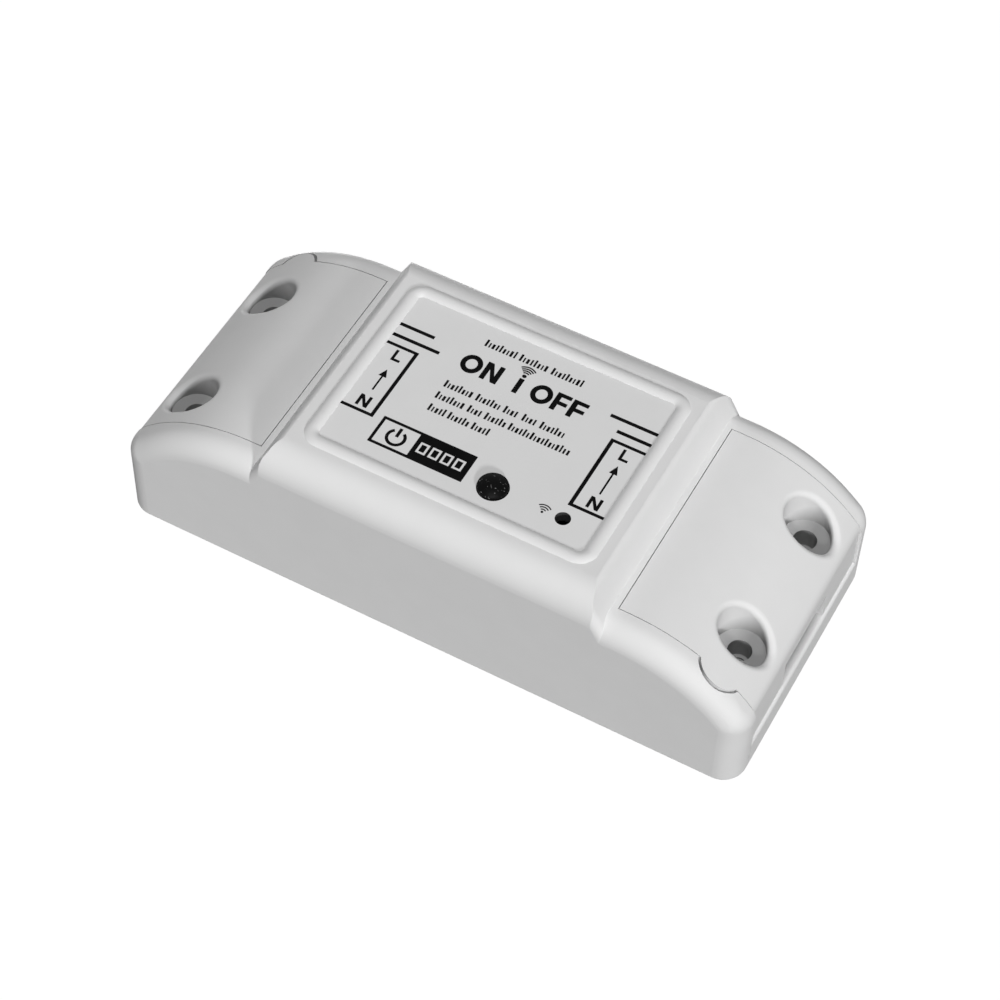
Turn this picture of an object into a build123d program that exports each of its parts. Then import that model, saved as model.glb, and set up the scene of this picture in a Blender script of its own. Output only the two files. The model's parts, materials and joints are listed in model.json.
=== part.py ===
from build123d import *
import os
from math import sqrt

os.makedirs("parts", exist_ok=True)

# In-line smart relay module, in millimetres. X runs from the input end to the output
# end, Y across the module, Z up from the wall or table that the base rests on.

# Casing envelope
housing_length = 88.0
housing_width = 39.0
crown_height = 24.0
crown_rise = 3.6
slope_drop = 8.8
slope_run = 17.8
compartment_length = 19.2
seam_ledge = 0.8
ramp_run = 2.0
corner_radius = 3.2
rim_edge_radius = 3.0
crown_edge_radius = 4.2
crown_end_radius = 0.9
ramp_side_radius = 1.2
foot_edge_radius = 0.5
wall = 1.8
roof = 1.8
partition_thickness = 1.3
overrun = 1.0

# Raised bead round the label
bead_end_margin = 2.75
bead_side_margin = 5.65
bead_corner_radius = 1.6
bead_breadth = 1.9
bead_rise = 0.36

# Fits between casing pieces
shell_gap = 0.15
seam_gap = 0.12
seat_gap = 0.1

# Base plate
floor = 1.6
sill_height_share = 0.414
sill_edge_radius = 0.5
base_corner_radius = 1.0
post_end_inset = 5.6
post_side_inset = 10.0
post_shift = 0.6
post_radius = 2.6
post_pilot_radius = 1.1
pilot_floor = 2.3
saddle_thickness = 1.0
saddle_spread = 2.0
saddle_drop = 0.3
snap_place_share = 0.447
snap_breadth = 5.0
snap_thickness = 1.2
snap_barb = 0.5
snap_level = 8.4
snap_nose = 1.2
snap_play = 0.1

# Wall-mounting holes, at two opposite corners
mount_side_inset = 4.8
mount_hole_radius = 1.7
mount_boss_radius = 2.8
mount_boss_height = 3.0

# End covers
rim_width = 3.8
end_inset = 0.4
cover_end_radius = 2.2
cover_end_wall = 1.6
skirt_thickness = 1.2
skirt_depth = 4.4
lobe_radius = 2.6
lobe_gap = 0.35
pocket_radius = 3.2
pocket_rim_radius = 0.8
pocket_depth = 4.2
pocket_floor = 3.0
pocket_wall = 1.2
cover_hole_radius = 1.55
slot_margin = 0.3
slot_height_share = 0.397
grip_thickness = 1.0

# Control board
board_level = 4.0
board_thickness = 1.6
board_side_gap = 1.7
board_edge = 0.3
board_corner_radius = 1.0
board_slot_width = 1.2
board_slot_length = 11.0
support_inset = 3.0
support_radius = 2.0
peg_radius = 0.9
peg_play = 0.1
peg_rise = 0.4
hold_down_place_share = 0.766
hold_down_breadth = 1.2
hold_down_depth = 2.7
solder_reach = 1.2
pin_play = 0.05
component_gap = 0.6
component_edge = 1.3

# Room on the board that the electronic parts are drawn for: they scale with the real room
drawn_half_length = 21.2
drawn_half_width = 16.0
drawn_height = 16.6

# Push button and the tact switch under it
button_place_shares = (0.2312, -0.6917)
button_radius = 1.97
button_play = 0.1
button_rise = 0.4
button_dome = 0.5
button_collar_radius = 2.7
button_collar_height = 1.5
button_stem_radius = 1.3
guide_wall = 0.9
guide_length = 5.0
tact_size = 6.0
tact_height = 3.4
tact_plate = 0.3
tact_plunger_radius = 1.7
tact_plunger_length = 3.0
tact_plunger_depth = 1.0
tact_well_depth = 1.7
tact_play = 0.08

# Status light
led_place_shares = (0.7273, -0.6895)
light_hole_radius = 1.0
led_radius = 1.5
led_height = 5.3
led_flange_radius = 1.9
led_flange_height = 1.0
lead_spacing = 2.54
lead_radius = 0.25

# Mains terminals
terminal_place_share = -0.1
terminal_pitch = 7.62
terminal_clearance = 0.4
terminal_depth = 8.0
terminal_side_wall = 1.1
terminal_end_wall = 1.0
terminal_back_wall = 1.2
terminal_floor = 0.6
terminal_cap = 0.6
cage_gap = 0.1
cage_length = 4.2
cage_width = 4.8
cage_wall = 0.7
terminal_headroom = 0.65
wire_space_share = 0.525
clamp_travel_share = 0.47
tongue_thickness = 0.8
tongue_width = 3.0
contact_pin_radius = 0.6
screw_radius = 1.25
screw_play = 0.05
screw_head_radius = 1.8
screw_head_height = 1.5
screw_head_play = 0.15
screw_slot_width = 0.5
screw_slot_depth = 0.7
driver_hole_radius = 1.5

# Relay
relay_length = 19.0
relay_width = 15.5
relay_height = 15.3
relay_case_wall = 0.8
relay_case_radius = 0.7
relay_base_height = 1.6
relay_fit = 0.15
yoke_thickness = 1.0
yoke_width = 8.0
coil_offset_share = 0.116
coil_radius_share = 0.2
bobbin_flange = 0.8
bobbin_overhang = 0.2
bobbin_wall = 0.7
core_radius_share = 0.105
pole_radius_share = 0.165
pole_thickness = 0.8
armature_gap = 0.5
armature_thickness = 0.9
armature_width = 7.0
armature_reach = 1.2
leaf_thickness = 0.25
leaf_width = 4.0
leaf_margin = 0.1
contact_radius_share = 0.063
contact_lift = 0.3
contact_travel = 0.8
contact_touch_gap = 0.06
fixed_contact_height = 0.25
blade_thickness = 0.5
blade_width = 2.0
blade_spread_share = 0.245
contact_offset_share = 0.316
contact_headroom = 0.14
relay_pin_radius = 0.4
coil_pin_inset = 2.15

# Transformer
transformer_width = 9.6
transformer_flange = 0.8
transformer_foot = 0.8
core_half_height = 5.2
core_back = 1.8
core_leg_share = 0.164
core_centre_leg_share = 0.309
core_depth = 4.6
transformer_tube_wall = 0.7
transformer_pin_radius = 0.35
transformer_pin_spacing_share = 0.29

# Other supply parts
bulk_radius = 4.0
bulk_height = 12.0
output_radius = 3.1
output_height = 8.0
can_groove = 0.35
can_groove_level = 1.6
can_edge = 0.4
choke_radius = 2.2
choke_height = 5.0
choke_flange = 0.8
choke_waist_radius = 1.0
choke_gap = 0.3
choke_lean_shares = (0.745, -0.667)
output_step_near = 3.668
output_step_far = 3.636
varistor_radius = 3.9
varistor_thickness = 3.0
fuse_radius = 1.5
fuse_waist_radius = 1.2
fuse_length = 8.0
fuse_cap_length = 1.6
bridge_length = 3.8
bridge_width = 4.7
bridge_height = 2.4
diode_length = 4.3
diode_width = 2.6
diode_height = 2.2
regulator_length = 6.5
regulator_width = 3.5
regulator_height = 1.6

# Control chips
soic_length = 5.0
soic_width = 3.9
soic_height = 1.5
soic_pitch = 1.27
leg_width = 0.4
leg_thickness = 0.2
leg_foot = 0.6
leg_run = 1.0
wifi_chip_size = 5.0
wifi_chip_height = 0.9
crystal_length = 3.2
crystal_width = 2.5
crystal_height = 0.7
transistor_length = 2.9
transistor_width = 1.3
transistor_height = 1.0
package_draft = 6.0
chip_length = 1.6
chip_width = 0.8
chip_height = 0.45
antenna_trace = 0.6
antenna_thickness = 0.1
antenna_step = 1.5
antenna_reach = 3.4
antenna_turns = 5

# Places on the board of the parts that nothing else fixes, as shares of half the length
# of the crown's hollow and of half the board's width
bulk_place_share = -0.67
varistor_place_share = -1.007
output_capacitor_place_shares = [-0.104, -0.245]
fuse_place_shares = (-0.975, -0.6)
bridge_place_shares = (-0.776, -0.42)
converter_place_shares = (-0.51, -0.48)
diode_place_shares = (0.222, -0.14)
regulator_place_shares = (0.621, -0.24)
wifi_place_shares = (-0.264, -0.74)
flash_place_shares = (0.887, -0.4875)
crystal_place_shares = (-0.687, -0.78)
transistor_place_shares = (0.953, -0.24)
antenna_place_shares = (0.887, -0.80)
resistor_place_shares = [
    (-0.776, -0.9),
    (-0.687, -0.62),
    (-0.325, -0.42),
    (0.39, -0.2),
    (0.421, -0.9),
    (0.466, -0.62),
    (0.554, -0.9),
]
capacitor_place_shares = [
    (-0.975, -0.9),
    (-0.277, -0.945),
    (0.067, -0.93),
    (0.521, -0.42),
    (0.665, -0.43),
    (0.288, -0.93),
]

# Levels and half sizes that follow from the sizes above
half_length = housing_length / 2
half_width = housing_width / 2
inner_half_length = half_length - wall
inner_half_width = half_width - wall
seam_x = half_length - compartment_length
foot_x = seam_x - seam_ledge
crown_x = foot_x - ramp_run
shoulder_height = crown_height - crown_rise
crown_cavity_x = crown_x + ramp_run * roof / crown_rise - wall
partition_x = seam_x - partition_thickness
slope_start = half_length - slope_run
end_height = shoulder_height - slope_drop
sill_height = end_height * sill_height_share
slot_height = end_height * slot_height_share
slope_radius = (slope_run**2 + slope_drop**2) / (2 * slope_drop)
slope_centre_z = shoulder_height - slope_radius
opening_half_width = half_width - rim_width
cover_half_width = opening_half_width - seam_gap
cover_end_x = half_length - end_inset
post_x = half_length - post_end_inset
free_post_y = half_width - post_side_inset + post_shift
lobe_post_y = half_width - post_side_inset - post_shift
mount_y = half_width - mount_side_inset
slot_width = 2 * (lobe_post_y - post_radius - slot_margin)
snap_x = partition_x * snap_place_share
hold_down_x = partition_x * hold_down_place_share
bead_length = 2 * (crown_x - bead_end_margin)
bead_width = 2 * (half_width - bead_side_margin)
button_x = bead_length / 2 * button_place_shares[0]
button_y = bead_width / 2 * button_place_shares[1]
led_x = bead_length / 2 * led_place_shares[0]
led_y = bead_width / 2 * led_place_shares[1]
board_top = board_level + board_thickness
slot_top = sill_height + slot_height
terminal_x = seam_x + terminal_clearance + terminal_depth / 2
terminal_outer_x = terminal_x + terminal_depth / 2
board_half_length = terminal_outer_x + board_edge
board_half_width = inner_half_width - board_side_gap
support_x = board_half_length - support_inset
support_y = board_half_width - support_inset
terminal_y = board_half_width * terminal_place_share
pin_end = board_level - solder_reach
guide_radius = button_collar_radius + button_play
component_limit = board_half_width - component_edge
part_scale = min(
    crown_cavity_x / drawn_half_length,
    board_half_width / drawn_half_width,
    (crown_height - roof - board_top) / drawn_height,
)


def slope_height(x, depth=0):
    """Level of the end slope at a distance from the middle, at a depth under the skin."""
    return slope_centre_z + sqrt((slope_radius - depth) ** 2 - (x - slope_start) ** 2)


pocket_floor_level = slope_height(post_x) - pocket_depth
post_top = pocket_floor_level - pocket_floor - seat_gap
# Both posts of an end stand a little away from the lobe over the wall-mounting hole
post_places = [(post_x, free_post_y), (post_x, -lobe_post_y)]


def shoulder_outline(roof_depth, end_depth, bottom, drop=0):
    """Side view of the casing without its crown, inset and lowered from the skin, down to a level."""
    top = shoulder_height - roof_depth - drop
    end_x = half_length - end_depth
    end_z = slope_height(end_x, roof_depth) - drop
    with BuildSketch(Plane.XZ) as outline:
        with BuildLine():
            Line((0, top), (slope_start, top))
            slope = TangentArc((slope_start, top), (end_x, end_z), tangent=(1, 0))
            Line(slope @ 1, (end_x, bottom))
            Line((end_x, bottom), (0, bottom))
            mirror(about=Plane.YZ)
        make_face()
    return outline.sketch


def both_ends(x, y=0):
    """Two places, one at each end of the module, turned half a turn about its middle."""
    return [(x, y), (-x, -y)]


def four_corners(x, y):
    return [(x, y), (x, -y), (-x, y), (-x, -y)]


def on_board(place_shares):
    """Place on the board from shares of the half length and half width there."""
    return crown_cavity_x * place_shares[0], board_half_width * place_shares[1]


def save(piece, name):
    piece.part.label = name
    export_step(piece.part, f"parts/{name}.step")


def around(pin_places, centre):
    """Places of a part's pins on the board, from places about the part's own centre."""
    return [(centre[0] + part_scale * x, centre[1] + part_scale * y) for x, y in pin_places]


def save_on_board(piece, name, place=(0, 0)):
    """Saves a piece drawn about its own centre, at its place on the board and at the parts' scale."""
    fitted = scale(piece.part, by=part_scale)
    fitted.position = (place[0], place[1], board_top)
    fitted.label = name
    export_step(fitted, f"parts/{name}.step")


# Raised crown: a trapezoid from the side, a rectangle with round top corners from the end
crown_root = shoulder_height - rim_edge_radius - overrun
crown_spread = ramp_run * (shoulder_height - crown_root) / crown_rise
with BuildPart() as crown_block:
    with BuildSketch(Plane.XZ) as crown_side:
        with BuildLine():
            Polyline(
                (-foot_x - crown_spread, crown_root),
                (-crown_x, crown_height),
                (crown_x, crown_height),
                (foot_x + crown_spread, crown_root),
                close=True,
            )
        make_face()
        fillet(crown_side.vertices().group_by(Axis.Y)[-1], radius=crown_end_radius)
    extrude(amount=half_width, both=True)
    fillet(
        crown_block.edges().filter_by(lambda e: abs(abs(e.center().Y) - half_width) < seat_gap)
        .filter_by(lambda e: e.length > crown_rise).filter_by(lambda e: abs(e.center().X) > crown_x),
        radius=ramp_side_radius,
    )
    with BuildSketch(Plane.YZ) as crown_front:
        with Locations((0, crown_height / 2)):
            Rectangle(housing_width, crown_height)
        fillet(crown_front.vertices().group_by(Axis.Y)[-1], radius=crown_edge_radius)
    extrude(amount=half_length, both=True, mode=Mode.INTERSECT)

# Upper housing: crown, both long walls, rims beside the covers and four corner posts
with BuildPart() as upper_housing:
    extrude(shoulder_outline(0, 0, 0), amount=half_width, both=True)
    fillet(upper_housing.edges().filter_by(Axis.Z), radius=corner_radius)
    top_edges = upper_housing.edges().filter_by(lambda e: e.center().Z > end_height - corner_radius)
    top_edges = top_edges.filter_by(Axis.Z, reverse=True)
    creases = top_edges.filter_by(Axis.Y).filter_by(lambda e: abs(e.center().X) < half_length - wall)
    fillet(top_edges - creases, radius=rim_edge_radius)
    foot_edges = upper_housing.edges().group_by(Axis.Z)[0]
    fillet(foot_edges, radius=foot_edge_radius)
    add(crown_block.part)
    # Hollow under the shoulder and inside the crown
    extrude(shoulder_outline(roof, wall, -overrun), amount=inner_half_width, both=True, mode=Mode.SUBTRACT)
    with BuildSketch(Plane.YZ) as crown_hollow:
        with Locations((0, (crown_height - roof) / 2)):
            Rectangle(2 * inner_half_width, crown_height - roof)
        fillet(crown_hollow.vertices().group_by(Axis.Y)[-1], radius=crown_edge_radius - wall)
    extrude(amount=crown_cavity_x, both=True, mode=Mode.SUBTRACT)
    # Partitions between the electronics and the two terminal compartments
    with BuildSketch(Plane.XY.offset(board_top + seat_gap)):
        with Locations(*both_ends(seam_x - partition_thickness / 2)):
            Rectangle(partition_thickness, 2 * inner_half_width)
    extrude(amount=shoulder_height - roof - board_top)
    # Ribs that hold the board down
    with BuildSketch(Plane.XY.offset(board_top)):
        with Locations(*four_corners(hold_down_x, inner_half_width - hold_down_depth / 2)):
            Rectangle(hold_down_breadth, hold_down_depth)
    extrude(amount=shoulder_height - roof - board_top)
    # Openings for the end covers, with a round relief over each wall-mounting hole
    with BuildSketch(Plane.XY.offset(-overrun)):
        with Locations(*both_ends(half_length)):
            Rectangle(2 * compartment_length, 2 * opening_half_width)
        with Locations(*both_ends(post_x, -mount_y)):
            Circle(lobe_radius + lobe_gap)
    extrude(amount=crown_height + overrun, mode=Mode.SUBTRACT)
    # Pockets in the long walls for the snap hooks of the base
    with BuildSketch(Plane.XY.offset(snap_level - snap_play)):
        with Locations(*four_corners(snap_x, inner_half_width)):
            Rectangle(snap_breadth + 2 * snap_play, 2 * (snap_barb + snap_play))
    extrude(amount=snap_nose + 2 * snap_play, mode=Mode.SUBTRACT)
    # Guide tube for the button, then the button hole and the light hole
    with BuildSketch(Plane.XY.offset(crown_height - roof - guide_length)):
        with Locations((button_x, button_y)):
            Circle(guide_radius + guide_wall)
    extrude(amount=guide_length)
    with BuildSketch(Plane.XY.offset(crown_height - roof - guide_length)):
        with Locations((button_x, button_y)):
            Circle(guide_radius)
    extrude(amount=guide_length, mode=Mode.SUBTRACT)
    with Locations(Plane.XY.offset(crown_height)):
        with Locations((button_x, button_y)):
            Hole(button_radius + button_play, depth=2 * roof)
        with Locations((led_x, led_y)):
            Hole(light_hole_radius, depth=2 * roof)
    # Bead round the label
    with BuildSketch(Plane.XY.offset(crown_height), mode=Mode.PRIVATE) as bead_outline:
        RectangleRounded(bead_length, bead_width, radius=bead_corner_radius)
    bead_path = bead_outline.sketch.face().outer_wire()
    across = Vector(0, 0, 1).cross(bead_path % 0)
    with BuildSketch(Plane(origin=bead_path @ 0, x_dir=across, z_dir=bead_path % 0)):
        with BuildLine():
            ThreePointArc((-bead_breadth / 2, 0), (0, bead_rise), (bead_breadth / 2, 0))
            Polyline(
                (bead_breadth / 2, 0),
                (bead_breadth / 2, -bead_rise),
                (-bead_breadth / 2, -bead_rise),
                (-bead_breadth / 2, 0),
            )
        make_face()
    sweep(path=bead_path)
save(upper_housing, "upper_housing")

# Base plate
with BuildPart() as base_plate:
    with BuildSketch(Plane.XY):
        RectangleRounded(
            2 * (inner_half_length - shell_gap),
            2 * (inner_half_width - shell_gap),
            radius=base_corner_radius,
        )
        Rectangle(housing_length, 2 * (opening_half_width - shell_gap))
    extrude(amount=floor)
    with BuildSketch(Plane.XY):
        with Locations(*both_ends(half_length - wall / 2)):
            Rectangle(wall, 2 * (opening_half_width - shell_gap))
    extrude(amount=sill_height)
    cross_edges = base_plate.edges().filter_by(Axis.Y)
    sill_edges = cross_edges.filter_by(lambda e: abs(e.center().X) > half_length - seat_gap)
    fillet(sill_edges, radius=sill_edge_radius)
    # Posts that the covers seat on, then the board supports
    with BuildSketch(Plane.XY):
        with Locations(*both_ends(*post_places[0]), *both_ends(*post_places[1])):
            Circle(post_radius)
    extrude(amount=post_top)
    with BuildSketch(Plane.XY):
        with Locations(*four_corners(support_x, support_y)):
            Circle(support_radius)
    extrude(amount=board_level)
    with BuildSketch(Plane.XY):
        with Locations(*four_corners(support_x, support_y)):
            Circle(peg_radius)
    extrude(amount=board_top + peg_rise)
    # Cable saddles behind each sill
    with BuildSketch(Plane.XY):
        with Locations(*both_ends(post_x - saddle_spread), *both_ends(post_x + saddle_spread)):
            Rectangle(saddle_thickness, slot_width)
    extrude(amount=sill_height - saddle_drop)
    # Wall-mounting bosses and holes, and the pilot holes for the cover screws
    with BuildSketch(Plane.XY):
        with Locations(*both_ends(post_x, -mount_y)):
            Circle(mount_boss_radius)
    extrude(amount=mount_boss_height)
    with Locations(Plane.XY.offset(mount_boss_height)):
        with Locations(*both_ends(post_x, -mount_y)):
            Hole(mount_hole_radius, depth=mount_boss_height + overrun)
    with Locations(Plane.XY.offset(post_top)):
        with Locations(*both_ends(*post_places[0]), *both_ends(*post_places[1])):
            Hole(post_pilot_radius, depth=post_top - pilot_floor)
    # Snap hooks along the two long sides
    snap_face_y = inner_half_width - shell_gap
    with BuildSketch(Plane.YZ.offset(-snap_x), Plane.YZ.offset(snap_x)):
        with BuildLine():
            Polyline(
                (snap_face_y - snap_thickness, 0),
                (snap_face_y, 0),
                (snap_face_y, snap_level),
                (snap_face_y + snap_barb, snap_level),
                (snap_face_y, snap_level + snap_nose),
                (snap_face_y - snap_thickness, snap_level + snap_nose),
                close=True,
            )
        make_face()
        mirror(about=Plane.YZ)
    extrude(amount=snap_breadth / 2, both=True)
save(base_plate, "base_plate")


def end_cover(side):
    """Sloping cover of one end: side is 1 at the output end and -1 at the input end."""
    inner_end_depth = end_inset + cover_end_wall
    # Hollow between the skirts and the end wall, round the pocket bosses and grip ribs
    with BuildPart() as hollow:
        extrude(
            shoulder_outline(roof, inner_end_depth, -overrun),
            amount=cover_half_width - skirt_thickness,
            both=True,
        )
        extrude(
            shoulder_outline(roof, inner_end_depth, -overrun, skirt_depth - roof),
            amount=half_width,
            both=True,
        )
        with BuildSketch(Plane.XY.offset(pocket_floor_level - pocket_floor)):
            with Locations(*post_places):
                Circle(pocket_radius + pocket_wall)
        extrude(amount=crown_height, mode=Mode.SUBTRACT)
        with BuildSketch(Plane.XY.offset(slot_top)):
            with Locations((post_x - saddle_spread, 0), (post_x + saddle_spread, 0)):
                Rectangle(grip_thickness, slot_width)
        extrude(amount=crown_height, mode=Mode.SUBTRACT)
    with BuildPart() as cover:
        extrude(shoulder_outline(0, end_inset, sill_height + seat_gap), amount=half_width, both=True)
        end_edges = cover.edges().filter_by(Axis.Y).group_by(Axis.X)[-1]
        fillet(end_edges.sort_by(Axis.Z)[-1], radius=cover_end_radius)
        # Plan of the cover, with the lobe over the wall-mounting hole
        with BuildSketch(Plane.XY):
            with Locations((seam_x + seam_gap, 0)):
                Rectangle(half_length, 2 * cover_half_width, align=(Align.MIN, Align.CENTER))
            with Locations((post_x, -mount_y)):
                Circle(lobe_radius)
        extrude(amount=crown_height, mode=Mode.INTERSECT)
        add(hollow.part, mode=Mode.SUBTRACT)
        # Cable slot, open at the bottom of the end wall
        with BuildSketch(Plane.XY):
            with Locations((cover_end_x, 0)):
                Rectangle(2 * (cover_end_wall + seam_gap), slot_width)
        extrude(amount=slot_top, mode=Mode.SUBTRACT)
        # Screw pockets and their holes
        with BuildSketch(Plane.XY.offset(pocket_floor_level)):
            with Locations(*post_places):
                Circle(pocket_radius)
        extrude(amount=crown_height, mode=Mode.SUBTRACT)
        rims = cover.edges().filter_by(lambda e: e.center().Z > pocket_floor_level + pocket_rim_radius)
        rims = rims.filter_by(lambda e: abs(e.bounding_box().size.X - 2 * pocket_radius) < seat_gap)
        fillet(rims, radius=pocket_rim_radius)
        with Locations(Plane.XY.offset(pocket_floor_level)):
            with Locations(*post_places):
                Hole(cover_hole_radius, depth=pocket_floor + overrun)
    if side < 0:
        cover.part = cover.part.rotate(Axis.Z, 180)
    return cover


input_end_cover = end_cover(-1)
save(input_end_cover, "input_end_cover")
output_end_cover = end_cover(1)
save(output_end_cover, "output_end_cover")


# Levels and places inside a terminal, with its clamp cage wide open
terminal_top = slope_height(terminal_outer_x, roof) - terminal_headroom
fixed_levels = terminal_floor + 2 * cage_wall + 3 * cage_gap + tongue_thickness
fixed_levels += screw_head_height + seat_gap + terminal_cap
wire_space = (terminal_top - board_top - fixed_levels) * wire_space_share
clamp_travel = (terminal_top - board_top - fixed_levels) * clamp_travel_share
cage_foot = board_top + terminal_floor + cage_gap
wire_floor = cage_foot + cage_wall
tongue_bottom = wire_floor + wire_space
screw_tip = tongue_bottom + tongue_thickness + cage_gap
cage_top = screw_tip + cage_wall
cage_height = cage_top - cage_foot
head_bottom = cage_top + clamp_travel + cage_gap
head_top = head_bottom + screw_head_height
pole_places_y = [terminal_y + terminal_pitch / 2, terminal_y - terminal_pitch / 2]
chamber_width = cage_width + 2 * cage_gap
chamber_outer_x = terminal_outer_x - terminal_end_wall
chamber_inner_x = terminal_outer_x - terminal_depth + terminal_back_wall
cage_x = chamber_outer_x - cage_gap - cage_length / 2
contact_leg_x = chamber_inner_x + cage_gap + tongue_thickness / 2


def pole_places(side, x):
    return [(side * x, y) for y in pole_places_y]


# Relay, transformer and capacitors side by side along the far edge of the board
relay_x = crown_cavity_x - 2 * seat_gap - part_scale * relay_length / 2
relay_y = component_limit - part_scale * relay_width / 2
bulk_x = crown_cavity_x * bulk_place_share
bulk_y = component_limit - part_scale * bulk_radius
transformer_end_x = bulk_x + part_scale * bulk_radius + component_gap
transformer_start_x = relay_x - part_scale * relay_length / 2 - component_gap
transformer_length = (transformer_start_x - transformer_end_x) / part_scale
transformer_x = (transformer_start_x + transformer_end_x) / 2
transformer_y = component_limit - part_scale * transformer_width / 2
relay_place = (relay_x, relay_y)
transformer_place = (transformer_x, transformer_y)

# Pins of each part, from the part's own centre
coil_x = -relay_length * coil_offset_share
coil_radius = relay_length * coil_radius_share
coil_pin_y = relay_width / 2 - coil_pin_inset
coil_pins = [(coil_x, coil_pin_y), (coil_x, -coil_pin_y)]
blade_x = relay_length / 2 - relay_case_wall - relay_fit - blade_thickness
blade_y = relay_width * blade_spread_share
yoke_x = relay_case_wall + relay_fit + yoke_thickness / 2 - relay_length / 2
relay_pins = coil_pins + [(blade_x, blade_y), (blade_x, -blade_y), (yoke_x, 0)]
transformer_pin_x = transformer_length * transformer_pin_spacing_share
transformer_pin_y = transformer_width / 2 - transformer_flange
pin_signs = [(step, edge) for step in (-1, 0, 1) for edge in (-1, 1)]
transformer_pins = [(step * transformer_pin_x, edge * transformer_pin_y) for step, edge in pin_signs]
led_leads = [(-lead_spacing / 2, 0), (lead_spacing / 2, 0)]
led_place = (led_x, led_y)
contact_pins = pole_places(1, contact_leg_x) + pole_places(-1, contact_leg_x)

# Control board, with its peg holes, pin holes and the slot under the relay contacts
with BuildPart() as control_board:
    with BuildSketch(Plane.XY.offset(board_level)):
        RectangleRounded(2 * board_half_length, 2 * board_half_width, radius=board_corner_radius)
        with Locations(*four_corners(support_x, support_y)):
            Circle(peg_radius + peg_play, mode=Mode.SUBTRACT)
        for pin_places, radius in (
            (contact_pins, contact_pin_radius),
            (around(relay_pins, relay_place), relay_pin_radius),
            (around(transformer_pins, transformer_place), transformer_pin_radius),
            (around(led_leads, led_place), lead_radius),
        ):
            with Locations(*pin_places):
                Circle(radius + pin_play, mode=Mode.SUBTRACT)
        with Locations((relay_x + part_scale * (coil_x + coil_radius + board_slot_width), relay_y)):
            Rectangle(part_scale * board_slot_width, part_scale * board_slot_length, mode=Mode.SUBTRACT)
    extrude(amount=board_thickness)
save(control_board, "control_board")


def terminal_block(side):
    """Moulded block of two poles, open outwards to the wires and upwards to the screws."""
    with BuildPart() as block:
        with BuildSketch(Plane.XY.offset(board_top)):
            with Locations((side * terminal_x, terminal_y)):
                Rectangle(terminal_depth, terminal_pitch + chamber_width + 2 * terminal_side_wall)
        extrude(amount=head_top + seat_gap + terminal_cap - board_top)
        with BuildSketch(Plane.XY.offset(board_top + terminal_floor)):
            with Locations(*pole_places(side, (chamber_inner_x + chamber_outer_x) / 2)):
                Rectangle(chamber_outer_x - chamber_inner_x, chamber_width)
        extrude(amount=head_bottom - board_top - terminal_floor, mode=Mode.SUBTRACT)
        with BuildSketch(Plane.XY.offset(board_top)):
            with Locations(*pole_places(side, contact_leg_x)):
                Circle(contact_pin_radius + pin_play)
        extrude(amount=terminal_floor, mode=Mode.SUBTRACT)
        with BuildSketch(Plane.XY.offset(head_bottom)):
            with Locations(*pole_places(side, cage_x)):
                Circle(screw_head_radius + screw_head_play)
        extrude(amount=screw_head_height + seat_gap, mode=Mode.SUBTRACT)
        with BuildSketch(Plane.XY.offset(head_top)):
            with Locations(*pole_places(side, cage_x)):
                Circle(driver_hole_radius)
        extrude(amount=seat_gap + terminal_cap + overrun, mode=Mode.SUBTRACT)
        with BuildSketch(Plane.XY.offset(wire_floor)):
            with Locations(*pole_places(side, terminal_outer_x)):
                Rectangle(2 * (terminal_end_wall + cage_gap), cage_width - 2 * cage_wall)
        extrude(amount=wire_space, mode=Mode.SUBTRACT)
    return block


def terminal_contacts(side):
    """Bent contacts: a leg at the back, a tongue through the cage and a solder pin."""
    tongue_length = cage_x + cage_length / 2 - contact_leg_x + tongue_thickness / 2
    leg_foot_z = board_top + terminal_floor
    with BuildPart() as contacts:
        with BuildSketch(Plane.XY.offset(tongue_bottom)):
            with Locations(*pole_places(side, contact_leg_x + (tongue_length - tongue_thickness) / 2)):
                Rectangle(tongue_length, tongue_width)
        extrude(amount=tongue_thickness)
        with BuildSketch(Plane.XY.offset(leg_foot_z)):
            with Locations(*pole_places(side, contact_leg_x)):
                Rectangle(tongue_thickness, tongue_width)
        extrude(amount=tongue_bottom - leg_foot_z)
        with BuildSketch(Plane.XY.offset(pin_end)):
            with Locations(*pole_places(side, contact_leg_x)):
                Circle(contact_pin_radius)
        extrude(amount=leg_foot_z - pin_end)
    return contacts


def clamp_cage(side, pole_y):
    """Rising cage of one pole: a square tube round the wire, with the screw's thread on top."""
    with BuildPart() as cage:
        with BuildSketch(Plane.YZ.offset(side * cage_x - cage_length / 2)):
            with Locations((pole_y, cage_foot + cage_height / 2)):
                Rectangle(cage_width, cage_height)
                Rectangle(cage_width - 2 * cage_wall, cage_height - 2 * cage_wall, mode=Mode.SUBTRACT)
        extrude(amount=cage_length)
        with Locations(Plane.XY.offset(cage_top)):
            with Locations((side * cage_x, pole_y)):
                Hole(screw_radius + screw_play, depth=cage_wall + cage_gap)
    return cage


def clamp_screw(side, pole_y):
    """Slotted screw of one pole, held under the block's cap so that it turns in place."""
    with BuildPart() as screw:
        with BuildSketch(Plane.XY.offset(screw_tip)):
            with Locations((side * cage_x, pole_y)):
                Circle(screw_radius)
        extrude(amount=head_bottom - screw_tip)
        with BuildSketch(Plane.XY.offset(head_bottom)):
            with Locations((side * cage_x, pole_y)):
                Circle(screw_head_radius)
        extrude(amount=screw_head_height)
        with BuildSketch(Plane.XY.offset(head_top - screw_slot_depth)):
            with Locations((side * cage_x, pole_y)):
                Rectangle(2 * screw_head_radius, screw_slot_width)
        extrude(amount=screw_slot_depth, mode=Mode.SUBTRACT)
    return screw


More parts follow.
